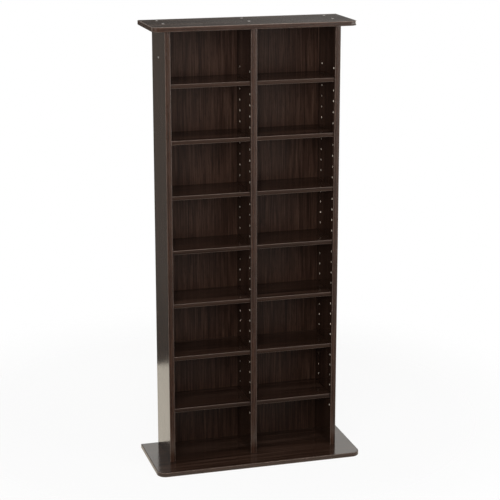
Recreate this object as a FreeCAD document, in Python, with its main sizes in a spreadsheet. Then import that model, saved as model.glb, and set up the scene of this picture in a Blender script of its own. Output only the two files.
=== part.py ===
import FreeCAD, Part
import math
import os
import re
import Sketcher

# Storage tower for disc cases: two columns of shelves between a wide base plate and a top plate.
# Millimetres, +Z up, front towards -Y, origin on the floor under the middle of the base plate.

sizes = {
    # case: two side panels and a divider, standing on the base plate
    "case_width": 624,
    "case_depth": 197,
    "panel_height": 1544,
    "side_thick": 19,
    "divider_thick": 22,
    "panel_band": 2,
    "panel_band_round": 1.5,
    # base and top plates: how far each stands out past the case at the sides and at the front
    "base_thick": 16,
    "base_side": 65,
    "base_front": 99,
    "base_corner": 32,
    "top_thick": 16,
    "top_side": 50,
    "top_front": 39,
    "top_corner": 28,
    "plate_band": 3,
    "plate_band_round": 2.5,
    # back boards, let into grooves ahead of the back edge of the case
    "back_thick": 3,
    "back_inset": 12,
    "back_groove": 6,
    "back_edge_gap": 0.5,
    "back_clear": 0.2,
    # rows of pin holes: distance of the end holes from the panel's ends, and of the rows from its edges
    "hole_margin": 151.2,
    "hole_front": 15.5,
    "hole_back": 53.5,
    "hole_end_gap": 1,
    # shelf pins: size over the flats, reach out of the panel, room between two pins in the divider
    "pin_size": 5,
    "pin_reach": 8,
    "pin_web": 4,
    # shelves, with a groove in each end that hides the pins
    "shelf_thick": 14,
    "shelf_setback": 6,
    "shelf_end_gap": 1,
    "shelf_back_gap": 2,
    "shelf_band": 2,
    "shelf_band_bevel": 1,
    "groove_play": 0.6,
    "groove_stop_gap": 1,
    "groove_tip_gap": 1.5,
    # connecting screws through the plates into the ends of the uprights
    "screw_head": 10,
    "screw_shank": 5,
    "screw_length": 50,
    "screw_recess": 0.3,
    "screw_clear": 0.2,
    "screw_end_gap": 1,
    "screw_front": 64,
    "screw_back": 37,
    # round-headed screw on the left side panel
    "side_screw_head": 8,
    "side_screw_rise": 2,
    "side_screw_bevel": 1.5,
    "side_screw_shank": 4,
    "side_screw_length": 13,
    "side_screw_drop": 102,
    # how far a cutting shape runs past the face that it cuts
    "overrun": 2,
}

# Counts: holes in a row, shelves in a column, and the holes from one shelf to the next.
# The pins and screws repeat many times, so they and their holes have eight sides.
hole_rows = 2
hole_count = 33
shelf_count = 7
top_shelf_hole = 1
shelf_hole_step = 5
round_sides = 8
full_turn = 360
tiny = 1e-6

# Sizes and places that follow from the driving ones
base_width = "(case_width + 2 * base_side)"
base_depth = "(case_depth + base_front)"
top_width = "(case_width + 2 * top_side)"
top_depth = "(case_depth + top_front)"
case_back = f"({base_depth} / 2)"
case_front = f"({case_back} - case_depth)"
case_top = "(base_thick + panel_height)"
bay_width = "((case_width - 2 * side_thick - divider_thick) / 2)"
board_depth = "(case_depth - panel_band)"
hole_pitch = f"((panel_height - 2 * hole_margin) / {hole_count - 1})"
pin_seat = "((divider_thick - pin_web) / 2)"
back_face = f"({case_back} - back_inset - back_thick)"
back_slot = "(back_thick + 2 * back_clear)"
shelf_length = f"({bay_width} - 2 * shelf_end_gap)"
shelf_front = f"({case_front} + shelf_setback)"
shelf_depth = f"({back_face} - shelf_back_gap - {shelf_front} - shelf_band)"
groove_height = "(pin_size + groove_play)"
groove_depth = "(pin_reach - shelf_end_gap + groove_tip_gap)"
left_x = "(-case_width / 2)"
divider_x = "(-divider_thick / 2)"
right_x = "(case_width / 2 - side_thick)"
column_x = {"left": f"({left_x} + side_thick)", "right": "(divider_thick / 2)"}

doc = FreeCAD.newDocument("storage_tower")
sheet = doc.addObject("Spreadsheet::Sheet", "Sizes")
for row, (word, number) in enumerate(sizes.items(), start=1):
    sheet.set(f"A{row}", word)
    sheet.set(f"B{row}", str(number))
    sheet.setAlias(f"B{row}", word)
doc.recompute()

parts = []


def formula(text):
    return re.sub(r"[a-z_]+", lambda word: f"Sizes.{word[0]}" if word[0] in sizes else word[0], text)


def value(text):
    return float(sheet.evalExpression(formula(text)))


def bind(item, prop, text):
    item.setExpression(prop, formula(text))


def place(item, x="0", y="0", z="0"):
    bind(item, "Placement.Base.x", x)
    bind(item, "Placement.Base.y", y)
    bind(item, "Placement.Base.z", z)


def new_body(label, is_part=True):
    body = doc.addObject("PartDesign::Body", label)
    body.Label = label
    if is_part:
        parts.append(body)
    return body


# A sketch on one of the body's own planes, with its origin moved by x, y along the plane and z out of it
def sketch_on(body, name, plane, x="0", y="0", z="0"):
    sketch = body.newObject("Sketcher::SketchObject", f"{body.Label}_{name}")
    support = next(item for item in body.Origin.OriginFeatures if item.Role == plane)
    sketch.AttachmentSupport = (support, "")
    sketch.MapMode = "FlatFace"
    bind(sketch, "AttachmentOffset.Base.x", x)
    bind(sketch, "AttachmentOffset.Base.y", y)
    bind(sketch, "AttachmentOffset.Base.z", z)
    return sketch


def dimension(sketch, name, text, kind, *where):
    index = sketch.addConstraint(Sketcher.Constraint(kind, *where, value(text)))
    sketch.renameConstraint(index, name)
    bind(sketch, f"Constraints.{name}", text)


# Puts one point of a sketch at x, y, where zero means on the axis
def pin_point(sketch, name, geometry, end, x, y):
    if value(x) > tiny:
        dimension(sketch, f"{name}_x", x, "DistanceX", -1, 1, geometry, end)
    else:
        sketch.addConstraint(Sketcher.Constraint("PointOnObject", geometry, end, -2))
    if value(y) > tiny:
        dimension(sketch, f"{name}_y", y, "DistanceY", -1, 1, geometry, end)
    else:
        sketch.addConstraint(Sketcher.Constraint("PointOnObject", geometry, end, -1))


# A closed outline of straight lines through points given as pairs of formulas
def outline(sketch, points):
    corners = [FreeCAD.Vector(value(x), value(y), 0) for x, y in points]
    count = len(corners)
    for index, corner in enumerate(corners):
        sketch.addGeometry(Part.LineSegment(corner, corners[(index + 1) % count]), False)
    for index, (x, y) in enumerate(points):
        sketch.addConstraint(Sketcher.Constraint("Coincident", index, 1, (index - 1) % count, 2))
        pin_point(sketch, f"corner_{index}", index, 1, x, y)


def rectangle(sketch, width, height):
    outline(sketch, [("0", "0"), (width, "0"), (width, height), ("0", height)])


# A plate's outline: front edge on the X axis, both front corners rounded, back corners square
def plate_outline(sketch, width, depth, corner):
    wide = value(width)
    deep = value(depth)
    radius = value(corner)
    up = FreeCAD.Vector(0, 0, 1)
    quarter = math.pi / 2
    back, right, front, left, right_arc, left_arc = range(6)
    sketch.addGeometry(Part.LineSegment(FreeCAD.Vector(0, deep, 0), FreeCAD.Vector(wide, deep, 0)))
    sketch.addGeometry(Part.LineSegment(FreeCAD.Vector(wide, deep, 0), FreeCAD.Vector(wide, radius, 0)))
    sketch.addGeometry(Part.LineSegment(FreeCAD.Vector(wide - radius, 0, 0), FreeCAD.Vector(radius, 0, 0)))
    sketch.addGeometry(Part.LineSegment(FreeCAD.Vector(0, radius, 0), FreeCAD.Vector(0, deep, 0)))
    right_circle = Part.Circle(FreeCAD.Vector(wide - radius, radius, 0), up, radius)
    left_circle = Part.Circle(FreeCAD.Vector(radius, radius, 0), up, radius)
    sketch.addGeometry(Part.ArcOfCircle(right_circle, -quarter, 0))
    sketch.addGeometry(Part.ArcOfCircle(left_circle, 2 * quarter, 3 * quarter))
    joins = [
        ("Coincident", left, 2, back, 1),
        ("Coincident", back, 2, right, 1),
        ("Tangent", right, 2, right_arc, 2),
        ("Tangent", right_arc, 1, front, 1),
        ("Tangent", front, 2, left_arc, 2),
        ("Tangent", left_arc, 1, left, 1),
        ("Horizontal", back),
        ("Vertical", left),
        ("Vertical", right),
        ("Equal", left_arc, right_arc),
        ("PointOnObject", left, 1, -2),
        ("PointOnObject", front, 1, -1),
        ("PointOnObject", front, 2, -1),
    ]
    for join in joins:
        sketch.addConstraint(Sketcher.Constraint(*join))
    dimension(sketch, "corner", corner, "Radius", left_arc)
    dimension(sketch, "width", width, "DistanceX", back, 1, back, 2)
    dimension(sketch, "depth", depth, "DistanceY", -1, 1, back, 1)


# A regular polygon about the sketch's origin, with a flat side on top
def polygon(sketch, sides, across):
    middle = FreeCAD.Vector(0, 0, 0)
    span = f"({across} / cos({full_turn // 2} / {sides}))"
    turn = FreeCAD.Rotation(FreeCAD.Vector(0, 0, 1), full_turn / sides)
    half_turn = FreeCAD.Rotation(FreeCAD.Vector(0, 0, 1), full_turn / sides / 2)
    arm = half_turn.multVec(FreeCAD.Vector(0, value(span) / 2, 0))
    corners = []
    for side in range(sides):
        corners.append(arm)
        arm = turn.multVec(arm)
    for side in range(sides):
        sketch.addGeometry(Part.LineSegment(corners[side - 1], corners[side]), False)
    sketch.addGeometry(Part.Circle(middle, FreeCAD.Vector(0, 0, 1), value(span) / 2), True)
    ring = sides
    for side in range(sides):
        sketch.addConstraint(Sketcher.Constraint("Coincident", side, 2, (side + 1) % sides, 1))
        sketch.addConstraint(Sketcher.Constraint("PointOnObject", side, 2, ring))
        if side:
            sketch.addConstraint(Sketcher.Constraint("Equal", 0, side))
    sketch.addConstraint(Sketcher.Constraint("Horizontal", 0))
    sketch.addConstraint(Sketcher.Constraint("Coincident", ring, 3, -1, 1))
    dimension(sketch, "span", span, "Diameter", ring)


def pad(body, sketch, length):
    feature = body.newObject("PartDesign::Pad", f"{sketch.Name}_pad")
    feature.Profile = sketch
    bind(feature, "Length", length)
    doc.recompute()
    return feature


# Cuts a sketch into the body, against the sketch's normal or, if along is set, with it
def pocket(body, sketch, depth=None, along=False):
    before = body.Shape.Volume
    feature = body.newObject("PartDesign::Pocket", f"{sketch.Name}_pocket")
    feature.Profile = sketch
    feature.Reversed = along
    if depth:
        bind(feature, "Length", depth)
    else:
        feature.Type = "ThroughAll"
    doc.recompute()
    if body.Shape.Volume > before - tiny:
        raise RuntimeError(f"{sketch.Name} cuts nothing")
    return feature


# A straight-sided transition from one sketch to another, added to the body or cut out of it
def loft(body, first, second, cuts=False):
    kind = "SubtractiveLoft" if cuts else "AdditiveLoft"
    feature = body.newObject(f"PartDesign::{kind}", f"{first.Name}_loft")
    feature.Profile = first
    feature.Sections = [second]
    feature.Ruled = True
    doc.recompute()
    return feature


# Repeats features along the two axes of a sketch
def repeat(body, features, sketch, columns, width, rows, height):
    pattern = body.newObject("PartDesign::LinearPattern", f"{sketch.Name}_pattern")
    pattern.Originals = features
    pattern.Direction = (sketch, ["H_Axis"])
    bind(pattern, "Length", width)
    pattern.Occurrences = columns
    pattern.Direction2 = (sketch, ["V_Axis"])
    bind(pattern, "Length2", height)
    pattern.Occurrences2 = rows
    body.Tip = pattern
    doc.recompute()


def edge_names(shape, chosen):
    return [f"Edge{number}" for number, edge in enumerate(shape.Edges, start=1) if chosen(edge)]


def fillet(body, radius, chosen):
    base = body.Tip
    feature = body.newObject("PartDesign::Fillet", f"{body.Label}_fillet")
    feature.Base = (base, edge_names(base.Shape, chosen))
    bind(feature, "Radius", radius)
    doc.recompute()


def bevel(body, size, chosen):
    base = body.Tip
    feature = body.newObject("PartDesign::Chamfer", f"{body.Label}_bevel")
    feature.Base = (base, edge_names(base.Shape, chosen))
    bind(feature, "Size", size)
    doc.recompute()


# A group of equal pieces in one node: copies of a made shape, each at its own placement
def group(label, shape, placements):
    copies = []
    for placement in placements:
        copy = shape.copy()
        copy.Placement = placement.multiply(shape.Placement)
        copies.append(copy)
    item = doc.addObject("Part::Feature", label)
    item.Label = label
    item.Shape = Part.makeCompound(copies)
    item.Placement = FreeCAD.Placement()
    parts.append(item)


# Plates

# Two screws over each upright
screw_columns = 3
screw_rows = 2
screw_width = "(case_width - side_thick)"
screw_depth = "(case_depth - screw_front - screw_back)"


# The board inside its edge band, with countersunk holes that open at the top or at the bottom
def make_plate(label, width, depth, thick, corner, side, front, x, y, z, opens_up):
    body = new_body(label)
    sketch = sketch_on(body, "outline", "XY_Plane")
    inner_width = f"({width} - 2 * plate_band)"
    plate_outline(sketch, inner_width, f"({depth} - plate_band)", f"({corner} - plate_band)")
    pad(body, sketch, thick)
    surface = thick if opens_up else "0"
    inwards = "-" if opens_up else "+"
    seat_depth = "((screw_head - screw_shank) / 2 + screw_recess)"
    screw_x = f"({side} + side_thick / 2 - plate_band)"
    screw_y = f"({front} + screw_front - plate_band)"
    mouth = sketch_on(body, "screw_mouth", "XY_Plane", screw_x, screw_y, surface)
    polygon(mouth, round_sides, "(screw_head + 2 * screw_recess + screw_clear)")
    seat_end = f"({surface} {inwards} {seat_depth})"
    shank = sketch_on(body, "screw_shank", "XY_Plane", screw_x, screw_y, seat_end)
    polygon(shank, round_sides, "(screw_shank + screw_clear)")
    before = body.Shape.Volume
    seat = loft(body, mouth, shank, cuts=True)
    if body.Shape.Volume > before - tiny:
        raise RuntimeError(f"{label} has no screw seats")
    bore = pocket(body, shank, along=not opens_up)
    repeat(body, [seat, bore], mouth, screw_columns, screw_width, screw_rows, screw_depth)
    place(body, f"({x} + plate_band)", f"({y} + plate_band)", z)


# The band round the left, front and right edges of a plate, with rounded rims
def make_plate_band(label, width, depth, thick, corner, x, y, z):
    body = new_body(label)
    outer = sketch_on(body, "outer", "XY_Plane")
    plate_outline(outer, width, depth, corner)
    pad(body, outer, thick)
    back = value(depth)
    fillet(body, "plate_band_round",
           lambda edge: edge.BoundBox.ZLength < tiny and edge.BoundBox.YMin < back - tiny)
    inner = sketch_on(body, "inner", "XY_Plane", "plate_band", "plate_band")
    inner_depth = f"({depth} - plate_band + overrun)"
    plate_outline(inner, f"({width} - 2 * plate_band)", inner_depth, f"({corner} - plate_band)")
    pocket(body, inner, along=True)
    place(body, x, y, z)


base_place = (f"(-{base_width} / 2)", f"(-{base_depth} / 2)", "0")
top_place = (f"(-{top_width} / 2)", f"({case_back} - {top_depth})", case_top)
make_plate("base_plate", base_width, base_depth, "base_thick", "base_corner", "base_side", "base_front",
           *base_place, False)
make_plate_band("base_edge_band", base_width, base_depth, "base_thick", "base_corner", *base_place)
make_plate("top_plate", top_width, top_depth, "top_thick", "top_corner", "top_side", "top_front",
           *top_place, True)
make_plate_band("top_edge_band", top_width, top_depth, "top_thick", "top_corner", *top_place)

# Uprights


# An upright board: pin holes and a groove for the back board on the inner face, or on both faces
def make_upright(label, thick, x, inner_faces):
    body = new_body(label)
    sketch = sketch_on(body, "section", "XY_Plane")
    rectangle(sketch, thick, board_depth)
    pad(body, sketch, "panel_height")
    slot_y = f"({board_depth} - back_inset - back_thick - back_clear)"
    if "right" in inner_faces:
        slot = sketch_on(body, "right_slot", "XY_Plane", f"({thick} - back_groove)", slot_y)
        rectangle(slot, "(back_groove + overrun)", back_slot)
        pocket(body, slot, along=True)
    if "left" in inner_faces:
        slot = sketch_on(body, "left_slot", "XY_Plane", "(-overrun)", slot_y)
        rectangle(slot, "(back_groove + overrun)", back_slot)
        pocket(body, slot, along=True)

    # pilot holes for the screws, in both ends
    screw_y = "(screw_front - panel_band)"
    for end, plate, height in (("lower", "base_thick", "0"), ("upper", "top_thick", "panel_height")):
        pilot = sketch_on(body, f"{end}_pilot", "XY_Plane", f"({thick} / 2)", screw_y, height)
        polygon(pilot, round_sides, "(screw_shank + screw_clear)")
        depth = f"(screw_length + screw_recess + screw_end_gap - {plate})"
        first = pocket(body, pilot, depth, along=end == "lower")
        repeat(body, [first], pilot, 1, "side_thick", screw_rows, screw_depth)

    # one pin hole at the foot of the front row, repeated backwards and upwards: blind, or through the divider
    opens_left = inner_faces == ["left"]
    face = "0" if opens_left else thick
    hole = sketch_on(body, "pin_hole", "YZ_Plane", "(hole_front - panel_band)", "hole_margin", face)
    polygon(hole, round_sides, "pin_size")
    depth = None if len(inner_faces) > 1 else f"({pin_seat} + hole_end_gap)"
    first = pocket(body, hole, depth, along=opens_left)
    row_gap = "(case_depth - hole_front - hole_back)"
    repeat(body, [first], hole, hole_rows, row_gap, hole_count, "(panel_height - 2 * hole_margin)")
    place(body, x, f"({case_front} + panel_band)", "base_thick")
    return body


# The band on the front edge of an upright, with both front corners rounded
def make_upright_band(label, thick, x):
    body = new_body(label)
    sketch = sketch_on(body, "section", "XY_Plane")
    rectangle(sketch, thick, "panel_band")
    pad(body, sketch, "panel_height")
    fillet(body, "panel_band_round", lambda edge: edge.BoundBox.ZLength > tiny > edge.BoundBox.YMax)
    place(body, x, case_front, "base_thick")


uprights = {
    "left_side": ("side_thick", left_x, ["right"]),
    "center_divider": ("divider_thick", divider_x, ["left", "right"]),
    "right_side": ("side_thick", right_x, ["left"]),
}
bodies = {}
for word, (thick, x, faces) in uprights.items():
    label = word if word == "center_divider" else f"{word}_panel"
    bodies[word] = make_upright(label, thick, x, faces)
    make_upright_band(f"{word}_edge_band", thick, x)

# the left side panel also takes a short screw from outside, half way back
side_pilot = sketch_on(bodies["left_side"], "side_pilot", "YZ_Plane", "(case_depth / 2 - panel_band)",
                       "(panel_height - side_screw_drop)")
polygon(side_pilot, round_sides, "(side_screw_shank + screw_clear)")
pocket(bodies["left_side"], side_pilot, "(side_screw_length + screw_end_gap)", along=True)

# Back boards

for column, x in column_x.items():
    board = doc.addObject("Part::Box", f"{column}_back_panel")
    board.Label = f"{column}_back_panel"
    bind(board, "Length", f"({bay_width} + 2 * (back_groove - back_edge_gap))")
    bind(board, "Width", "back_thick")
    bind(board, "Height", "panel_height")
    place(board, f"({x} - back_groove + back_edge_gap)", back_face, "base_thick")
    parts.append(board)

# Shelves


def hole_height(number):
    return f"({case_top} - hole_margin - {number} * {hole_pitch})"


# A shelf board: each end has a groove, open at the back, that stops just ahead of the front pins
def make_shelf(label, x, z):
    body = new_body(label)
    sketch = sketch_on(body, "section", "XY_Plane")
    rectangle(sketch, shelf_length, shelf_depth)
    pad(body, sketch, "shelf_thick")
    stop = "(hole_front - pin_size / 2 - groove_stop_gap - shelf_setback - shelf_band)"
    floor = f"((shelf_thick - {groove_height}) / 2)"
    for end, face in (("left", "0"), ("right", shelf_length)):
        groove = sketch_on(body, f"{end}_groove", "YZ_Plane", stop, floor, face)
        rectangle(groove, f"({shelf_depth} - {stop} + overrun)", groove_height)
        pocket(body, groove, groove_depth, along=end == "left")
    place(body, x, f"({shelf_front} + shelf_band)", z)


# The band on a shelf's front edge, with both front corners bevelled
def make_shelf_band(label, x, z):
    body = new_body(label)
    sketch = sketch_on(body, "section", "XY_Plane")
    rectangle(sketch, shelf_length, "shelf_band")
    pad(body, sketch, "shelf_thick")
    bevel(body, "shelf_band_bevel", lambda edge: edge.BoundBox.XLength > tiny > edge.BoundBox.YMax)
    place(body, x, shelf_front, z)


shelf_holes = [top_shelf_hole + number * shelf_hole_step for number in range(shelf_count)]
for column, bay_x in column_x.items():
    for number, hole in enumerate(shelf_holes, start=1):
        x = f"({bay_x} + shelf_end_gap)"
        z = f"({hole_height(hole)} - shelf_thick / 2 - groove_play / 2)"
        make_shelf(f"{column}_shelf_{number}", x, z)
        make_shelf_band(f"{column}_shelf_{number}_edge_band", x, z)

# Shelf pins: four to a shelf, in the side panel and in the divider

pin = new_body("shelf_pin", is_part=False)
pin_section = sketch_on(pin, "section", "YZ_Plane")
polygon(pin_section, round_sides, "pin_size")
pad(pin, pin_section, f"({pin_seat} + pin_reach)")

pin_rows = [f"({case_front} + hole_front)", f"({case_back} - hole_back)"]
for column, bay_x in column_x.items():
    pin_starts = [f"({bay_x} - {pin_seat})", f"({bay_x} + {bay_width} - pin_reach)"]
    places = []
    for hole in shelf_holes:
        for x in pin_starts:
            for y in pin_rows:
                spot = FreeCAD.Vector(value(x), value(y), value(hole_height(hole)))
                places.append(FreeCAD.Placement(spot, FreeCAD.Rotation()))
    group(f"{column}_shelf_pins", pin.Shape, places)

# Screws


# A connecting screw along +Z: a head sunk into the plate, and a shank that ends in the upright
def make_screw(name):
    body = new_body(name, is_part=False)
    shank_start = "((screw_head - screw_shank) / 2)"
    head = sketch_on(body, "head", "XY_Plane")
    polygon(head, round_sides, "screw_head")
    shank = sketch_on(body, "shank", "XY_Plane", z=shank_start)
    polygon(shank, round_sides, "screw_shank")
    loft(body, head, shank)
    pad(body, shank, f"(screw_length - {shank_start})")
    return body


screw = make_screw("connecting_screw")
flip = FreeCAD.Rotation(FreeCAD.Vector(1, 0, 0), full_turn / 2)
screw_sets = {
    "top_screws": (f"({case_top} + top_thick - screw_recess)", flip),
    "base_screws": ("screw_recess", FreeCAD.Rotation()),
}
for label, (z, turn) in screw_sets.items():
    places = []
    for column in range(screw_columns):
        for row in range(screw_rows):
            x = value(f"{left_x} + side_thick / 2 + {screw_width} * {column} / {screw_columns - 1}")
            y = value(f"{case_front} + screw_front + {screw_depth} * {row} / {screw_rows - 1}")
            places.append(FreeCAD.Placement(FreeCAD.Vector(x, y, value(z)), turn))
    group(label, screw.Shape, places)


# The raised-head side screw, along +Z from its crown, then turned to point to the right
def make_side_screw(label):
    body = new_body(label)
    head = sketch_on(body, "head", "XY_Plane")
    polygon(head, round_sides, "side_screw_head")
    pad(body, head, "side_screw_rise")
    bevel(body, "side_screw_bevel", lambda edge: edge.BoundBox.ZMax < tiny)
    shank = sketch_on(body, "shank", "XY_Plane", z="side_screw_rise")
    polygon(shank, round_sides, "side_screw_shank")
    pad(body, shank, "side_screw_length")
    body.Placement.Rotation = FreeCAD.Rotation(FreeCAD.Vector(0, 1, 0), full_turn / 4)
    place(body, f"({left_x} - side_screw_rise)", f"({case_back} - case_depth / 2)",
          f"({case_top} - side_screw_drop)")


make_side_screw("left_side_screw")

# Every feature has to have come out, and every piece has to be a sound solid, before anything is written

doc.recompute()
for item in doc.Objects:
    if "Invalid" in item.State or "Error" in item.State:
        raise RuntimeError(f"{item.Label} failed")
for item in parts:
    if item.Shape.isNull() or not item.Shape.isValid() or not item.Shape.Solids:
        raise RuntimeError(f"{item.Label} is not a sound solid")

os.makedirs("parts", exist_ok=True)
for item in parts:
    item.Shape.exportStep(f"parts/{item.Label}.step")
    print(item.Label, len(item.Shape.Solids), round(item.Shape.Volume))
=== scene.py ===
import math

import bpy
import numpy as np
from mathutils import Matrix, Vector


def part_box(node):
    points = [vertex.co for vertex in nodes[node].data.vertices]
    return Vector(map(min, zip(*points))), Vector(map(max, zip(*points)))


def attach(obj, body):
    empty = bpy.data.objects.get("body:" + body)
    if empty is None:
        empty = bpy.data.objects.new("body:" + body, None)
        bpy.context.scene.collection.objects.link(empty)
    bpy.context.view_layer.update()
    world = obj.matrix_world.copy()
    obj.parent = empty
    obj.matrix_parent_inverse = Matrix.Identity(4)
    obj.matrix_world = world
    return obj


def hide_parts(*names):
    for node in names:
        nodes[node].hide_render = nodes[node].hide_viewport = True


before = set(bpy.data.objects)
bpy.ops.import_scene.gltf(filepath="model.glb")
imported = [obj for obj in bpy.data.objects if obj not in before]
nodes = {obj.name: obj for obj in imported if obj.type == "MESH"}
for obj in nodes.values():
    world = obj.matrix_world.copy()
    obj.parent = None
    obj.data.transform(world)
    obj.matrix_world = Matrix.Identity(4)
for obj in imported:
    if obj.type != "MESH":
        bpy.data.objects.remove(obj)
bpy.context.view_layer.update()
mm = 0.001  # shapes are worked out in millimetres, meshes are in metres
white = (1, 1, 1, 1)
mostNoise = (0.3, 0.7)  # where most values of a noise lie
sides = ("left", "right")
shelfNames = [f"{side}_shelf_{number}" for side in sides for number in range(1, 8)]


# Node helpers: each adds one node and gives back the socket that the next one reads
def put(tree, kind, inputs=(), out=0, **settings):
    made = tree.nodes.new(kind)
    for name, value in settings.items():
        setattr(made, name, value)
    for key, value in dict(inputs).items():
        if isinstance(value, bpy.types.NodeSocket):
            tree.links.new(value, made.inputs[key])
        else:
            made.inputs[key].default_value = value
    return made.outputs[out]


def calc(tree, operation, first, second=0.0):
    return put(tree, "ShaderNodeMath", {0: first, 1: second}, operation=operation)


# 1 where low < value < high, and 0 elsewhere
def between(tree, value, low, high):
    above, below = calc(tree, "GREATER_THAN", value, low), calc(tree, "LESS_THAN", value, high)
    return calc(tree, "MULTIPLY", above, below)


# value drawn out from the span low..high to the span first..last
def spread(tree, value, low, high, first=0.0, last=1.0):
    span = {"Value": value, "From Min": low, "From Max": high, "To Min": first, "To Max": last}
    return put(tree, "ShaderNodeMapRange", span)


def mixColor(tree, share, first, second, blend="MIX"):
    sockets = {0: share, 6: first, 7: second}
    return put(tree, "ShaderNodeMix", sockets, 2, data_type="RGBA", blend_type=blend)


def mixValue(tree, share, first, second):
    return put(tree, "ShaderNodeMix", {0: share, 2: first, 3: second})


def ramp(tree, value, stops):
    colors = put(tree, "ShaderNodeValToRGB", {"Fac": value})
    elements = colors.node.color_ramp.elements
    while len(elements) < len(stops):
        elements.new(0.5)
    for element, (position, color) in zip(elements, stops):
        element.position, element.color = position, color
    return colors


def noise(tree, place, scale, detail=2.0, roughness=0.5, distortion=0.0):
    look = {"Vector": place, "Scale": scale, "Detail": detail, "Roughness": roughness,
            "Distortion": distortion}
    return put(tree, "ShaderNodeTexNoise", look)


def drawn(tree, place, scale):
    return put(tree, "ShaderNodeMapping", {"Vector": place, "Scale": scale})


def startFinish(name):
    finish = bpy.data.materials.new(name)
    finish.use_nodes = True
    finish.node_tree.nodes.clear()
    return finish, finish.node_tree


def closeFinish(tree, color, rough, height, relief, metal=0.0, ior=1.5, shine=0.5):
    bump = put(tree, "ShaderNodeBump", {"Height": height, "Strength": 1.0, "Distance": relief})
    look = {"Base Color": color, "Roughness": rough, "Normal": bump, "Metallic": metal, "IOR": ior,
            "Specular IOR Level": shine}
    surface = put(tree, "ShaderNodeBsdfPrincipled", look)
    tree.links.new(surface, tree.nodes.new("ShaderNodeOutputMaterial").inputs["Surface"])


espresso = {
    "dark": (0.0100, 0.0046, 0.0029, 1), "middle": (0.0245, 0.0118, 0.0074, 1),
    "light": (0.0480, 0.0262, 0.0180, 1), "pore": (0.0048, 0.0025, 0.0018, 1),
    "bands": 26.0, "streaks": 125.0, "pores": 620.0,  # across the grain, to a metre
    "draw": 0.022, "poreDraw": 0.07,  # how slowly the pattern changes along the grain
    "rough": (0.12, 0.21), "relief": 0.00002, "ior": 1.6,  # a hard melamine face
}
plateLook = dict(espresso, dark=(0.0120, 0.0056, 0.0036, 1), middle=(0.0300, 0.0148, 0.0094, 1),
                 light=(0.0600, 0.0335, 0.0235, 1), streaks=95.0, rough=(0.10, 0.17),
                 relief=0.000004, ior=1.68)
shelfLook = dict(espresso, pore=(0.0130, 0.0064, 0.0042, 1), rough=(0.15, 0.19), relief=0.000002, ior=1.5)
grain = {
    "bandNoise": (3.0, 0.55, 0.9), "streakNoise": (5.0, 0.62, 0.2),  # detail, roughness, distortion
    "bandShare": 0.45, "streakShare": 0.55, "tones": (0.40, 0.50, 0.60), "streakHeight": 0.5,
    "poreDetail": 1.0, "poreSpan": (0.60, 0.68), "poreShare": 0.65, "poreRough": 0.05,
    "smears": 9.0, "smearDetail": 3.0, "smearRough": (-0.02, 0.03),  # faint, from handling
}


# Printed wood: broad bands and fine streaks make the tone, short pores cut into it, all drawn out along one axis
def woodGrain(tree, place, along, look):
    long = [look["draw"] if axis == along else 1.0 for axis in "xyz"]
    short = [look["poreDraw"] if axis == along else 1.0 for axis in "xyz"]
    stretched = drawn(tree, place, long)
    bands = noise(tree, stretched, look["bands"], *grain["bandNoise"])
    streaks = noise(tree, stretched, look["streaks"], *grain["streakNoise"])
    pores = noise(tree, drawn(tree, place, short), look["pores"], grain["poreDetail"])
    pores = spread(tree, pores, *grain["poreSpan"])
    tone = calc(tree, "ADD", calc(tree, "MULTIPLY", bands, grain["bandShare"]),
                calc(tree, "MULTIPLY", streaks, grain["streakShare"]))
    color = ramp(tree, tone, list(zip(grain["tones"], (look["dark"], look["middle"], look["light"]))))
    color = mixColor(tree, calc(tree, "MULTIPLY", pores, grain["poreShare"]), color, look["pore"])
    height = calc(tree, "SUBTRACT", calc(tree, "MULTIPLY", streaks, grain["streakHeight"]), pores)
    smears = noise(tree, place, grain["smears"], grain["smearDetail"])
    rough = calc(tree, "ADD", spread(tree, streaks, *mostNoise, *look["rough"]),
                 spread(tree, smears, *mostNoise, *grain["smearRough"]))
    return color, height, calc(tree, "ADD", rough, calc(tree, "MULTIPLY", pores, grain["poreRough"]))


chipboard = {
    "flakes": 420.0, "dust": 1500.0, "flakeShare": 0.6, "dustShare": 0.4, "tones": (0.15, 0.75),
    "dark": (0.46, 0.37, 0.27, 1), "light": (0.76, 0.67, 0.55, 1),
    "paint": (0.0135, 0.0085, 0.0068, 1), "paintRough": 0.55,
}


# Raw chipboard: flakes of one tone each, with fine dust over them
def rawCore(tree, place, look):
    flakes = put(tree, "ShaderNodeTexVoronoi", {"Vector": place, "Scale": look["flakes"]}, "Color")
    dust = noise(tree, place, look["dust"])
    tone = calc(tree, "ADD", calc(tree, "MULTIPLY", flakes, look["flakeShare"]),
                calc(tree, "MULTIPLY", dust, look["dustShare"]))
    return ramp(tree, tone, list(zip(look["tones"], (look["dark"], look["light"])))), tone


def objectPlace(tree):
    place = put(tree, "ShaderNodeTexCoord", out="Object")
    axes = put(tree, "ShaderNodeSeparateXYZ", {0: place}).node.outputs
    return place, axes


# A laminated board: printed faces, painted cut edges, and raw core inside whatever was bored or grooved
def boardFinish(name, along, look, masks):
    finish, tree = startFinish(name)
    place, axes = objectPlace(tree)
    color, height, rough = woodGrain(tree, place, along, look)
    core, flakes = rawCore(tree, place, chipboard)
    bored, painted = masks(tree, axes)
    color = mixColor(tree, bored, color, core)
    color = mixColor(tree, painted, color, chipboard["paint"])
    cut = calc(tree, "MAXIMUM", bored, painted)
    height = mixValue(tree, cut, height, flakes)
    rough = mixValue(tree, cut, rough, chipboard["paintRough"])
    closeFinish(tree, color, rough, height, look["relief"], ior=look["ior"])
    return finish


skin = 0.3 * mm  # the printed paper and what it is glued to
stepsBelow = 20  # shelf steps that keep a height above zero before it is folded


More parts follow.
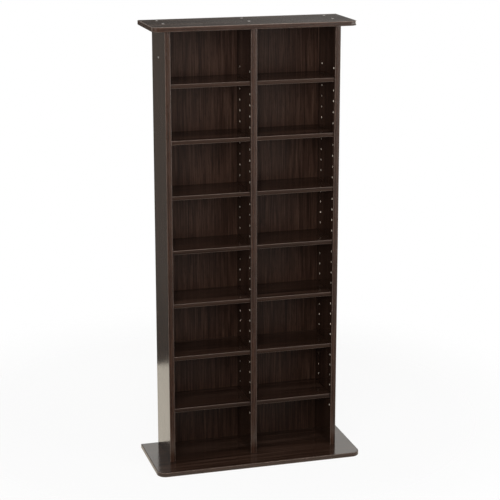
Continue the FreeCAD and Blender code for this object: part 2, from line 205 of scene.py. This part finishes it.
# Sides and divider: anything between their two faces is bored, except the painted back edge
def uprightMasks(tree, axes):
    across = calc(tree, "ABSOLUTE", axes["X"])
    side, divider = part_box("right_side_panel"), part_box("center_divider")
    inSide = between(tree, across, side[0].x + skin, side[1].x - skin)
    inside = calc(tree, "MAXIMUM", inSide, calc(tree, "LESS_THAN", across, divider[1].x - skin))
    atBack = calc(tree, "GREATER_THAN", axes["Y"], side[1].y - skin)
    return inside, calc(tree, "MULTIPLY", inside, atBack)


# Top and base: anything between the faces is a screw hole, except the painted back edge
def plateMasks(tree, axes):
    base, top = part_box("base_plate"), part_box("top_plate")
    inBase = between(tree, axes["Z"], base[0].z + skin, base[1].z - skin)
    inTop = between(tree, axes["Z"], top[0].z + skin, top[1].z - skin)
    inside = calc(tree, "MAXIMUM", inBase, inTop)
    atBack = calc(tree, "GREATER_THAN", axes["Y"], base[1].y - skin)
    return inside, calc(tree, "MULTIPLY", inside, atBack)


# Shelves: ends and back edge are painted, the pin grooves are raw; the height repeats from shelf to shelf
def shelfMasks(tree, axes):
    low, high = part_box("right_shelf_1")
    step = low.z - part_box("right_shelf_2")[0].z
    raised = calc(tree, "MODULO", calc(tree, "SUBTRACT", axes["Z"], low.z - step * stepsBelow), step)
    inside = between(tree, raised, skin, high.z - low.z - skin)
    across = calc(tree, "ABSOLUTE", axes["X"])
    offEnds = between(tree, across, low.x + skin, high.x - skin)
    atBack = calc(tree, "GREATER_THAN", axes["Y"], high.y - skin)
    edge = calc(tree, "MAXIMUM", calc(tree, "SUBTRACT", 1.0, offEnds), atBack)
    return inside, calc(tree, "MULTIPLY", inside, edge)


uprightFinish = boardFinish("uprightLaminate", "z", espresso, uprightMasks)
plateFinish = boardFinish("plateLaminate", "x", plateLook, plateMasks)
shelfFinish = boardFinish("shelfLaminate", "x", shelfLook, shelfMasks)

backPrint = dict(espresso, dark=(0.0098, 0.0044, 0.0028, 1), middle=(0.0220, 0.0104, 0.0066, 1),
                 light=(0.0420, 0.0222, 0.0150, 1), bands=170.0, streaks=340.0, rough=(0.36, 0.48),
                 relief=0.00005, shine=0.17)  # dull paper
hardboard = {"dark": (0.060, 0.036, 0.022, 1), "light": (0.115, 0.074, 0.047, 1), "tones": (0.35, 0.65),
             "fibres": 700.0, "fibreNoise": (4.0, 0.65), "screen": 5200.0, "rough": 0.75}


# The thin back: printed paper in front, bare hardboard with its screen marks behind
def makeBackFinish():
    finish, tree = startFinish("backBoard")
    place, axes = objectPlace(tree)
    color, height, rough = woodGrain(tree, place, "z", backPrint)
    fibres = noise(tree, place, hardboard["fibres"], *hardboard["fibreNoise"])
    bare = ramp(tree, fibres, list(zip(hardboard["tones"], (hardboard["dark"], hardboard["light"]))))
    rows = [calc(tree, "SINE", calc(tree, "MULTIPLY", axes[axis], hardboard["screen"])) for axis in "XZ"]
    screen = calc(tree, "MULTIPLY", rows[0], rows[1])
    behind = calc(tree, "GREATER_THAN", axes["Y"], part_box("left_back_panel")[0].y + skin)
    color = mixColor(tree, behind, color, bare)
    height = mixValue(tree, behind, height, calc(tree, "ADD", screen, fibres))
    rough = mixValue(tree, behind, rough, hardboard["rough"])
    closeFinish(tree, color, rough, height, backPrint["relief"], shine=backPrint["shine"])
    return finish


backFinish = makeBackFinish()

# the last range in each band look sets how much of the rims' scraped wear and painted highlight shows, patch by
# patch
bandLook = dict(espresso, dark=(0.0168, 0.0062, 0.0029, 1), middle=(0.0285, 0.0112, 0.0056, 1),
                light=(0.0440, 0.0196, 0.0112, 1), streaks=330.0, bands=45.0, rough=(0.22, 0.32),
                relief=0.00008, shine=0.42, worn=(0.5, 0.95))
# shelf strips take the rims' scraped wear and painted highlight almost in full
shelfBandLook = dict(bandLook, dark=(0.0105, 0.0044, 0.0022, 1), middle=(0.0175, 0.0077, 0.0042, 1),
                     light=(0.0270, 0.0133, 0.0080, 1), rough=(0.3, 0.42),
                     shine=0.22, worn=(0.85, 1.0))  # a darker and duller strip
bandWearAndHighlight = {"color": (0.165, 0.125, 0.104, 1),  # pale where the trimmer scraped it, and a painted highlight along the rounded rims
            "patches": 60.0, "patchNoise": (4.0, 0.6), "patchSpan": (0.35, 0.65)}


# Edge band: grain runs along the strip by its own map, and the rounded rims are paler, more in some patches, as
# scraped wear and as a painted highlight
def makeBandFinish(name, look):
    finish, tree = startFinish(name)
    place = put(tree, "ShaderNodeUVMap", uv_map="run")
    color, height, rough = woodGrain(tree, place, "x", look)
    rim = put(tree, "ShaderNodeAttribute", out="Fac", attribute_name="rim")
    patches = noise(tree, place, bandWearAndHighlight["patches"], *bandWearAndHighlight["patchNoise"])
    patches = spread(tree, patches, *bandWearAndHighlight["patchSpan"], *look["worn"])
    # the rims are painted paler here: scraped wear and a painted highlight
    color = mixColor(tree, calc(tree, "MULTIPLY", rim, patches), color, bandWearAndHighlight["color"])
    closeFinish(tree, color, rough, height, look["relief"], shine=look["shine"])
    return finish


bandFinish = makeBandFinish("edgeBand", bandLook)
shelfBandFinish = makeBandFinish("shelfEdgeBand", shelfBandLook)

steelLook = {  # a chalky zinc plating
    "bright": (0.86, 0.85, 0.82, 1), "dull": (0.68, 0.67, 0.645, 1), "tones": (0.35, 0.6),
    "clouds": 500.0, "cloudDetail": 3.0, "grime": (0.07, 0.06, 0.052, 1), "recessDarkShare": 0.85,
    "scratches": 2600.0, "scratchNoise": (3.0, 0.7), "scratchDraw": (1.0, 0.08, 1.0),
    "rough": (0.24, 0.42), "relief": 0.00003, "metal": 0.42,
}
shadedSideSteelLook = dict(steelLook, bright=(0.34, 0.335, 0.32, 1), dull=(0.26, 0.255, 0.245, 1))  # painted shade: the same plating made darker for the side screw, which faces the front lamps


# Plated steel: cloudy plating, fine scratches, and a darker colour in the cross recess where the driver fits
def makeSteelFinish(name, look):
    finish, tree = startFinish(name)
    place = objectPlace(tree)[0]
    clouds = noise(tree, place, look["clouds"], look["cloudDetail"])
    scratches = noise(tree, drawn(tree, place, look["scratchDraw"]), look["scratches"], *look["scratchNoise"])
    color = ramp(tree, clouds, list(zip(look["tones"], (look["dull"], look["bright"]))))
    sunk = put(tree, "ShaderNodeAttribute", out="Fac", attribute_name="sunk")
    # the cross recess is coloured darker, by the sunk mark
    color = mixColor(tree, calc(tree, "MULTIPLY", sunk, look["recessDarkShare"]), color, look["grime"])
    rough = spread(tree, scratches, *mostNoise, *look["rough"])
    closeFinish(tree, color, rough, scratches, look["relief"], look["metal"])
    return finish


steelFinish = makeSteelFinish("platedSteel", steelLook)
shadedSideSteelFinish = makeSteelFinish("shadedSideSteel", shadedSideSteelLook)

tornCore = dict(chipboard, dark=(0.54, 0.47, 0.38, 1), light=(0.76, 0.71, 0.62, 1),
                rough=(0.8, 0.95), relief=0.0002)  # paler and ragged where a drill tore the paper


def makeCoreFinish():
    finish, tree = startFinish("rawChipboard")
    color, flakes = rawCore(tree, objectPlace(tree)[0], tornCore)
    rough = spread(tree, flakes, 0.0, 1.0, *tornCore["rough"])
    closeFinish(tree, color, rough, flakes, tornCore["relief"])
    return finish


coreFinish = makeCoreFinish()
print("finishes:", len(bpy.data.materials))

boards = {
    "base_plate": plateFinish, "top_plate": plateFinish,
    "left_side_panel": uprightFinish, "right_side_panel": uprightFinish, "center_divider": uprightFinish,
    "left_back_panel": backFinish, "right_back_panel": backFinish,
    **{name: shelfFinish for name in shelfNames},
}
for name, finish in boards.items():
    for held in nodes[name].material_slots:
        held.material = finish
print("boards dressed:", len(boards))


# Puts worked-out points into a mesh: corners carry the map, points carry named marks
def makePiece(name, points, faces, finish, body, stands=(), run=None, marks=None, crease=38.0):
    mesh = bpy.data.meshes.new(name)
    mesh.from_pydata((np.asarray(points) * mm).tolist(), [], faces)
    if run is not None:
        mesh.uv_layers.new(name="run").uv.foreach_set("vector", np.asarray(run, np.float32).ravel())
    for mark, values in (marks or {}).items():
        held = mesh.attributes.new(mark, "FLOAT", "POINT")
        held.data.foreach_set("value", np.asarray(values, np.float32).ravel())
    mesh.materials.append(finish)
    mesh.shade_smooth()
    mesh.set_sharp_from_angle(angle=math.radians(crease))
    piece = bpy.data.objects.new(name, mesh)
    bpy.context.scene.collection.objects.link(piece)
    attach(piece, body)
    if stands:
        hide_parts(*stands)


def plainName(node, ending):
    first, *rest = node.split("_")
    return first + "".join(word.capitalize() for word in rest) + ending


# Section of an edge strip, outward by across: square against the board with a fine glue line, and two
# rounded rims outside; the second result marks how much each point takes of the rims' scraped wear and painted
# highlight
def stripSection(thick, wide, rim, seam, steps):
    turn = np.linspace(-math.pi / 2, 0, steps)
    lower = np.stack([thick - rim + rim * np.cos(turn), rim + rim * np.sin(turn)], 1)
    upper = np.stack([lower[::-1, 0], wide - lower[::-1, 1]], 1)
    section = np.concatenate([[[0, seam], [seam, 0]], lower, upper, [[seam, wide], [0, wide - seam]]])
    flat = np.zeros(2)
    worn = np.sin(np.linspace(0, math.pi, steps)) ** 2
    return section, np.concatenate([flat, worn, worn, flat])


# A section carried along a path: point = path + outward * section[0] + upward * section[1], with flat caps
# at both ends; the map runs along the path and around the section, in metres
def carrySection(section, path, outward, upward):
    rows, cols = len(path), len(section)
    points = (path[:, None] + section[None, :, :1] * outward[:, None]
              + section[None, :, 1:] * upward[:, None])
    i, j = np.meshgrid(np.arange(rows - 1), np.arange(cols), indexing="ij")
    after = (j + 1) % cols
    quads = [i * cols + j, (i + 1) * cols + j, (i + 1) * cols + after, i * cols + after]
    quads = np.stack(quads, -1).reshape(-1, 4)
    along = np.concatenate([[0], np.cumsum(np.linalg.norm(np.diff(path, axis=0), axis=1))]) * mm
    loop = np.concatenate([section, section[:1]])
    around = np.concatenate([[0], np.cumsum(np.linalg.norm(np.diff(loop, axis=0), axis=1))]) * mm
    corners = [(i, j), (i + 1, j), (i + 1, j + 1), (i, j + 1)]
    run = np.stack([np.stack([along[a], around[b]], -1) for a, b in corners], -2).reshape(-1, 2)
    order = np.arange(cols)
    faces = quads.tolist() + [order.tolist(), (order + (rows - 1) * cols)[::-1].tolist()]
    capRun = section * mm
    run = np.concatenate([run, capRun, (capRun + [along[-1], 0])[::-1]])
    return points.reshape(-1, 3), faces, run


plateBand = {
    "base": {"corner": 32.0, "rim": 2.5}, "top": {"corner": 28.0, "rim": 2.5},
    "rimSteps": 9, "cornerSteps": 25, "seam": 0.25,
}


# Path round a plate's core: forward along the left side, round the left corner, along the front, round the
# right corner and back along the right side
def platePath(low, high, corner, steps):
    turn = np.linspace(math.pi, 1.5 * math.pi, steps)
    leftOut = np.stack([np.cos(turn), np.sin(turn)], 1)
    left = [low.x + corner, low.y + corner] + corner * leftOut
    right = np.stack([low.x + high.x - left[::-1, 0], left[::-1, 1]], 1)
    flat = np.concatenate([[[low.x, high.y]], left, right, [[high.x, high.y]]])
    rightOut = np.stack([-leftOut[::-1, 0], leftOut[::-1, 1]], 1)
    out = np.concatenate([[[-1, 0]], leftOut, rightOut, [[1, 0]]])
    path = np.column_stack([flat, np.full(len(flat), low.z)])
    return path, np.column_stack([out, np.zeros(len(out))])


for plate in ("base", "top"):
    look = plateBand[plate]
    core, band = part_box(f"{plate}_plate"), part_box(f"{plate}_edge_band")
    low, high = core[0] / mm, core[1] / mm
    thick = low.x - band[0].x / mm
    section, worn = stripSection(thick, high.z - low.z, look["rim"], plateBand["seam"],
                                 plateBand["rimSteps"])
    path, outward = platePath(low, high, look["corner"] - thick, plateBand["cornerSteps"])
    upward = np.tile([0.0, 0.0, 1.0], (len(path), 1))
    points, faces, run = carrySection(section, path, outward, upward)
    makePiece(f"{plate}EdgeBand", points, faces, bandFinish, "case",
              [f"{plate}_edge_band"], run, {"rim": np.tile(worn, len(path))})

uprightBand = {"rim": 1.5, "rimSteps": 8, "seam": 0.2}

for upright in ("left_side", "center_divider", "right_side"):
    low, high = (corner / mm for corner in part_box(f"{upright}_edge_band"))
    section, worn = stripSection(high.y - low.y, high.x - low.x, uprightBand["rim"], uprightBand["seam"],
                                 uprightBand["rimSteps"])
    path = np.array([[low.x, high.y, high.z], [low.x, high.y, low.z]])
    outward, upward = np.tile([0, -1.0, 0], (2, 1)), np.tile([1.0, 0, 0], (2, 1))
    points, faces, run = carrySection(section, path, outward, upward)
    makePiece(plainName(upright, "FrontBand"), points, faces, bandFinish, "case",
              [f"{upright}_edge_band"], run, {"rim": np.tile(worn, 2)})

shelfBand = {"rim": 1.6, "rimSteps": 7, "seam": 0.2, "rollStep": 0.0137}

for shelf in shelfNames:
    low, high = (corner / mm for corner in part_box(f"{shelf}_edge_band"))
    section, worn = stripSection(high.y - low.y, high.z - low.z, shelfBand["rim"], shelfBand["seam"],
                                 shelfBand["rimSteps"])
    path = np.array([[low.x, high.y, low.z], [high.x, high.y, low.z]])
    outward, upward = np.tile([0, -1.0, 0], (2, 1)), np.tile([0, 0, 1.0], (2, 1))
    points, faces, run = carrySection(section, path, outward, upward)
    run = run + [low.z * shelfBand["rollStep"], 0]  # each strip starts elsewhere on the printed roll
    makePiece(plainName(shelf, "FrontBand"), points, faces, shelfBandFinish, shelf,
              [f"{shelf}_edge_band"], run, {"rim": np.tile(worn, 2)})
print("edge bands: 2 plates, 3 uprights,", len(shelfNames), "shelves")


# A profile (radius, height) turned about +Z, with a closed pole at each end that has radius 0
def turnProfile(profile, segments):
    profile = np.asarray(profile, float)
    ringed = profile[profile[:, 0] > 0]
    turn = np.arange(segments) * 2 * math.pi / segments
    rings = np.stack([ringed[:, :1] * np.cos(turn), ringed[:, :1] * np.sin(turn),
                      np.broadcast_to(ringed[:, 1:], (len(ringed), segments))], -1).reshape(-1, 3)
    i, j = np.meshgrid(np.arange(len(ringed) - 1), np.arange(segments), indexing="ij")
    after = (j + 1) % segments
    near, far = i * segments, (i + 1) * segments
    faces = np.stack([near + j, far + j, far + after, near + after], -1).reshape(-1, 4).tolist()
    points, ring, following = [rings], np.arange(segments), (np.arange(segments) + 1) % segments
    if profile[0, 0] == 0:
        faces += np.stack([np.full(segments, len(rings)), ring, following], 1).tolist()
        points.append([[0, 0, profile[0, 1]]])
    if profile[-1, 0] == 0:
        last, pole = ring + len(rings) - segments, len(rings) + len(points) - 1
        faces += np.stack([np.roll(last, -1), last, np.full(segments, pole)], 1).tolist()
        points.append([[0, 0, profile[-1, 1]]])
    return np.concatenate(points), faces


# Copies of one shape at many places, its +Z turned to the given axis
def setOut(points, faces, places, axes):
    points, places = np.asarray(points, float), np.asarray(places, float)
    up = Vector((0, 0, 1))
    turns = np.stack([np.array(up.rotation_difference(Vector(axis)).to_matrix()) for axis in axes])
    spots = np.einsum("nij,pj->npi", turns, points) + places[:, None]
    firsts = np.arange(len(places)) * len(points)
    copies = [(np.asarray(face) + first).tolist() for first in firsts for face in faces]
    return spots.reshape(-1, 3), copies


pinHoles = {
    "rows": (-33.5, 94.5), "first": 1408.8, "step": 38.8, "count": 33,  # mm, the topmost hole first
    "radius": 2.3, "lip": 3.5, "proud": 0.05, "deep": 7.0, "segments": 12,
}
holeHeights = pinHoles["first"] - pinHoles["step"] * np.arange(pinHoles["count"])
holeRows, holeLevels = (grid.ravel() for grid in np.meshgrid(pinHoles["rows"], holeHeights))
holeLining = turnProfile([
    (0, -pinHoles["deep"]), (pinHoles["radius"], -pinHoles["deep"]),
    (pinHoles["radius"], pinHoles["proud"] / 2), (pinHoles["lip"], pinHoles["proud"]),
], pinHoles["segments"])
innerFaces = {
    "leftSideHoles": (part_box("left_side_panel")[1].x, 1),
    "dividerLeftHoles": (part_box("center_divider")[0].x, -1),
    "dividerRightHoles": (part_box("center_divider")[1].x, 1),
    "rightSideHoles": (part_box("right_side_panel")[0].x, -1),
}
for name, (x, way) in innerFaces.items():
    places = np.column_stack([np.full(len(holeRows), x / mm), holeRows, holeLevels])
    points, faces = setOut(*holeLining, places, [(way, 0, 0)] * len(places))
    makePiece(name, points, faces, coreFinish, "case")
print("hole linings:", len(innerFaces) * len(holeRows))

shelfPin = {"radius": 2.5, "reach": 8.0, "seat": 9.0, "crown": 0.8, "crownSteps": 5, "segments": 16,
            "firstHole": 1, "every": 5}
crownTurn = np.linspace(0, math.pi / 2, shelfPin["crownSteps"])[1:]
crownRing = np.column_stack([shelfPin["radius"] - shelfPin["crown"] * (1 - np.sin(crownTurn)),
                             shelfPin["reach"] - shelfPin["crown"] * (1 - np.cos(crownTurn))])
pinProfile = [(0, shelfPin["reach"]), *crownRing, (shelfPin["radius"], -shelfPin["seat"]),
              (0, -shelfPin["seat"])]
pinShape = turnProfile(pinProfile, shelfPin["segments"])
pinHeights = holeHeights[shelfPin["firstHole"]::shelfPin["every"]]
pinRows, pinLevels = (grid.ravel() for grid in np.meshgrid(pinHoles["rows"], pinHeights))
pinSides = {"left": ("leftSideHoles", "dividerLeftHoles"), "right": ("dividerRightHoles", "rightSideHoles")}
for side, pair in pinSides.items():
    places = [np.column_stack([np.full(len(pinRows), innerFaces[face][0] / mm), pinRows, pinLevels])
              for face in pair]
    ways = [(innerFaces[face][1], 0, 0) for face in pair for row in pinRows]
    points, faces = setOut(*pinShape, np.concatenate(places), ways)
    makePiece(f"{side}ShelfPins", points, faces, steelFinish, "case", [f"{side}_shelf_pins"])
print("shelf pins:", len(innerFaces) * len(pinRows))

crossScrew = {
    "head": 5.0, "shank": 2.5, "length": 49.5, "rings": 14, "segments": 40,
    "slot": 0.75, "arm": 2.6, "sunk": 1.5, "edge": 0.25, "crown": 0.32,
    "wall": 0.35, "runOut": 0.5,  # soft part of the slot's width, and of the arm's length
    "x": (-302.5, 0.0, 302.5), "y": (15.0, 111.0),
}
seat = {"outside": 6.2, "inside": 4.95, "lip": 0.35, "proud": 0.05, "sunk": -0.45, "segments": 24}


# Share of a cross recess's depth at (x, y): two arms with soft walls, deepest in the middle and running out
# at the arm ends; soft = t * t * (3 - 2 * t)
def crossDepth(x, y, look):
    def soft(value):
        value = np.clip(value, 0, 1)
        return value * value * (3 - 2 * value)

    def arm(across, along):
        walls = soft((look["slot"] - np.abs(across)) / (look["wall"] * look["slot"]))
        return walls * soft((look["arm"] - np.abs(along)) / (look["runOut"] * look["arm"]))

    return np.maximum(arm(x, y), arm(y, x))


# A screw: crown height over radius less the cross, then the cone and the shank below it
def screwShape(look, crownHeight):
    radius = np.linspace(look["head"], 0, look["rings"] + 1)[::-1]
    cone = -(look["head"] - look["shank"]) - look["edge"]
    below = [(look["head"], -look["edge"]), (look["shank"], cone),
             (look["shank"], -look["length"]), (0, -look["length"])]
    points, faces = turnProfile([(r, crownHeight(r)) for r in radius] + below, look["segments"])
    upper = points[:, 2] > -look["edge"] / 2
    depth = np.where(upper, crossDepth(points[:, 0], points[:, 1], look), 0.0)
    points[:, 2] -= depth * look["sunk"]
    return points, faces, depth


def flatCrown(r):
    return crossScrew["crown"] * (1 - (r / crossScrew["head"]) ** 2)


screwPoints, screwFaces, screwDepth = screwShape(crossScrew, flatCrown)
seatShape = turnProfile([(seat["inside"], seat["sunk"]), (seat["outside"] - seat["lip"], seat["proud"]),
                         (seat["outside"], seat["proud"])], seat["segments"])
screwX, screwY = (grid.ravel() for grid in np.meshgrid(crossScrew["x"], crossScrew["y"]))
screwSets = {"top": (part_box("top_screws")[1].z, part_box("top_plate")[1].z, 1),
             "base": (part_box("base_screws")[0].z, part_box("base_plate")[0].z, -1)}
for plate, (headZ, faceZ, way) in screwSets.items():
    axes = [(0, 0, way)] * len(screwX)
    places = np.column_stack([screwX, screwY, np.full(len(screwX), headZ / mm)])
    points, faces = setOut(screwPoints, screwFaces, places, axes)
    makePiece(f"{plate}Screws", points, faces, steelFinish, "case", [f"{plate}_screws"],
              marks={"sunk": np.tile(screwDepth, len(places))})
    places[:, 2] = faceZ / mm
    points, faces = setOut(*seatShape, places, axes)
    makePiece(f"{plate}ScrewSeats", points, faces, plateFinish, "case")

sideScrew = dict(crossScrew, head=4.0, shank=2.0, length=12.8, slot=0.6, arm=2.1, sunk=1.2, edge=0.1,
                 crown=1.9, rings=12, segments=32, ball=4.08)


def domeCrown(r):
    return sideScrew["crown"] * math.sqrt(1 - (r / sideScrew["ball"]) ** 2)


points, faces, depth = screwShape(sideScrew, domeCrown)
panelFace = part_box("left_side_panel")[0].x / mm
low, high = (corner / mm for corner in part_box("left_side_screw"))
place = (panelFace, (low.y + high.y) / 2, (low.z + high.z) / 2)
points, faces = setOut(points, faces, [place], [(-1, 0, 0)])
# the side screw wears the darker copy of the plating, which is painted shade
makePiece("leftSideScrew", points, faces, shadedSideSteelFinish, "case", ["left_side_screw"],
          marks={"sunk": depth})
print("screws:", len(screwX), "top,", len(screwX), "base, 1 side")

floorLook = {
    "radius": 2600.0, "rings": 24, "segments": 72, "height": -0.4,  # mm
    "color": (0.84, 0.835, 0.82, 1), "stain": (0.80, 0.79, 0.77, 1), "stainShare": (0.0, 0.06),
    "stains": 3.0, "stainDetail": 3.0,
    "middle": (0.0, 0.45, 0.0), "clear": (0.8, 1.5), "sheet": (-0.28, 1.06),  # metres
    "glow": 0.9, "shine": (1.15, 1.05, 0.89, 1),
}


# Floor: a pale round sheet that thins out to nothing, so the white behind it takes over; light and gloss
# meet only a strip of it, from just in front of the base to a step behind it
def makeFloor():
    finish, tree = startFinish("paleFloor")
    place, axes = objectPlace(tree)
    away = put(tree, "ShaderNodeVectorMath", {0: place, 1: floorLook["middle"]}, "Value",
               operation="DISTANCE")
    stains = noise(tree, place, floorLook["stains"], floorLook["stainDetail"])
    stains = spread(tree, stains, *mostNoise, *floorLook["stainShare"])
    matt = put(tree, "ShaderNodeBsdfDiffuse",
               {"Color": mixColor(tree, stains, floorLook["color"], floorLook["stain"])})
    glow = put(tree, "ShaderNodeEmission", {"Color": white, "Strength": 1.0})
    bright = put(tree, "ShaderNodeEmission", {"Color": floorLook["shine"], "Strength": 1.0})
    path = put(tree, "ShaderNodeLightPath").node.outputs
    glowing = calc(tree, "MULTIPLY", path["Is Camera Ray"], floorLook["glow"])
    lit = put(tree, "ShaderNodeMixShader", {0: glowing, 1: matt, 2: glow})
    lit = put(tree, "ShaderNodeMixShader", {0: path["Is Glossy Ray"], 1: lit, 2: bright})
    clear = put(tree, "ShaderNodeBsdfTransparent")
    nearest, farthest = floorLook["clear"]
    thin = put(tree, "ShaderNodeMapRange", {"Value": away, "From Min": nearest, "From Max": farthest},
               interpolation_type="SMOOTHSTEP")
    beyond = calc(tree, "SUBTRACT", 1.0, between(tree, axes["Y"], *floorLook["sheet"]))
    thin = mixValue(tree, path["Is Camera Ray"], beyond, thin)
    sheet = put(tree, "ShaderNodeMixShader", {0: thin, 1: lit, 2: clear})
    tree.links.new(sheet, tree.nodes.new("ShaderNodeOutputMaterial").inputs["Surface"])
    rings = np.linspace(floorLook["radius"], 0, floorLook["rings"])[::-1]
    profile = np.column_stack([rings, np.full(len(rings), floorLook["height"])])
    points, faces = turnProfile(profile, floorLook["segments"])
    mesh = bpy.data.meshes.new("floor")
    mesh.from_pydata((points * mm).tolist(), [], faces)
    mesh.materials.append(finish)
    floor = bpy.data.objects.new("floor", mesh)
    bpy.context.scene.collection.objects.link(floor)


makeFloor()

# The room that gloss sees; positions are parts of a unit direction, tones are linear
studio = {
    "ambient": (0.13, 0.13, 0.133, 1), "warm": (1.0, 0.88, 0.77, 1), "clean": (1.0, 0.98, 0.93, 1),
    "dim": [(0.40, 0.150), (0.60, 0.064), (0.67, 0.165)],  # behind and low, left (0) to right (1)
    "fall": (-0.33, -0.27, 0.6, 1.0),  # darker again close to the floor
    "cards": [{"X": (0.50, 0.97), "Z": (-0.135, 0.05), "level": 8.0},  # to the right and to the left, at the
              {"X": (-0.96, -0.68), "Z": (-0.2, 0.3), "level": 2.5}],  # top plate's height
    "cloth": (-0.15, 0.05, 0.35, 1.14), "clothEdge": (0.20, 0.28),  # white, behind and higher up
    "front": [(0.0, 0.04), (0.33, 0.06), (0.38, 0.7), (0.49, 0.7), (0.56, 0.4),
              (1.0, 0.5)],  # straight down (0) to straight up (1)
    "frontSide": (0.22, 0.34, 0.75, 2.0), "turn": (-0.1, 0.1), "cool": (0.0, 0.3),
}


def makeWorld():
    world = bpy.data.worlds.new("studio")
    bpy.context.scene.world = world
    world.use_nodes = True
    tree = world.node_tree
    tree.nodes.clear()
    way = put(tree, "ShaderNodeTexCoord", out="Generated")
    way = put(tree, "ShaderNodeSeparateXYZ", {0: way}).node.outputs
    dim, front = ([(stop, (tone, tone, tone, 1)) for stop, tone in studio[part]] for part in ("dim", "front"))
    raised = spread(tree, way["Z"], *studio["clothEdge"])
    low = calc(tree, "MULTIPLY", ramp(tree, spread(tree, way["X"], -1.0, 1.0), dim),
               spread(tree, way["Z"], *studio["fall"]))
    behind = mixValue(tree, raised, low, spread(tree, way["X"], *studio["cloth"]))
    ahead = calc(tree, "MULTIPLY", ramp(tree, spread(tree, way["Z"], -1.0, 1.0), front),
                 spread(tree, way["X"], *studio["frontSide"]))
    tone = mixValue(tree, spread(tree, way["Y"], *studio["turn"]), ahead, behind)
    for card in studio["cards"]:
        seen = calc(tree, "MULTIPLY", *(between(tree, way[axis], *card[axis]) for axis in "XZ"))
        tone = mixValue(tree, seen, tone, card["level"])
    cool = calc(tree, "MAXIMUM", raised, spread(tree, way["X"], *studio["cool"]))
    room = mixColor(tree, 1.0, mixColor(tree, cool, studio["warm"], studio["clean"]), tone, "MULTIPLY")
    path = put(tree, "ShaderNodeLightPath").node.outputs
    mirrored = calc(tree, "MAXIMUM", path["Is Glossy Ray"], path["Is Transmission Ray"])
    color = mixColor(tree, mirrored, studio["ambient"], room)
    color = mixColor(tree, path["Is Camera Ray"], color, white)
    background = put(tree, "ShaderNodeBackground", {"Color": color, "Strength": 1.0})
    tree.links.new(background, tree.nodes.new("ShaderNodeOutputWorld").inputs["Surface"])


makeWorld()

lamps = {  # place and aim in mm, width and height in metres
    "frontPanel": {"at": (-1000, -2500, 1900), "to": (0, 0, 1350), "size": (2.4, 1.9), "spread": 90, "power": 29},
    "rightPanel": {"at": (2600, -2300, 1500), "to": (0, 0, 1150), "size": (1.6, 2.0), "spread": 110, "power": 12},
    "overhead": {"at": (0, -300, 3400), "to": (0, 0, 800), "size": (2.2, 1.8), "spread": 180, "power": 45},
    "backPanel": {"at": (-1300, 3000, 1700), "to": (0, 0, 800), "size": (1.6, 1.6), "spread": 180, "power": 24},
}
for name, look in lamps.items():
    light = bpy.data.lights.new(name, "AREA")
    light.shape, light.energy = "RECTANGLE", look["power"]
    light.size, light.size_y = look["size"]
    light.spread = math.radians(look["spread"])
    lamp = bpy.data.objects.new(name, light)
    lamp.location = Vector(look["at"]) * mm
    lamp.rotation_euler = (Vector(look["to"]) - Vector(look["at"])).to_track_quat("-Z", "Y").to_euler()
    lamp.visible_camera = lamp.visible_glossy = False  # what gloss sees is the room above
    bpy.context.scene.collection.objects.link(lamp)

viewPoint = {"target": (-0.8, 0.0, 767.7), "away": 5600.0, "yaw": 16.0, "pitch": 14.8,  # mm and degrees
             "focal": 1577.1, "frame": 500, "sensor": 36.0}  # pixels, and mm
yaw, pitch = math.radians(viewPoint["yaw"]), math.radians(viewPoint["pitch"])
forward = Vector((math.sin(yaw) * math.cos(pitch), math.cos(yaw) * math.cos(pitch), -math.sin(pitch)))
lens = bpy.data.cameras.new("camera")
lens.sensor_width = viewPoint["sensor"]
lens.lens = viewPoint["focal"] / viewPoint["frame"] * viewPoint["sensor"]
camera = bpy.data.objects.new("camera", lens)
camera.location = (Vector(viewPoint["target"]) - forward * viewPoint["away"]) * mm
camera.rotation_euler = forward.to_track_quat("-Z", "Y").to_euler()
bpy.context.scene.collection.objects.link(camera)
bpy.context.scene.camera = camera
bpy.context.scene.view_settings.view_transform = "Standard"
print("studio: floor, world,", len(lamps), "lamps, camera")
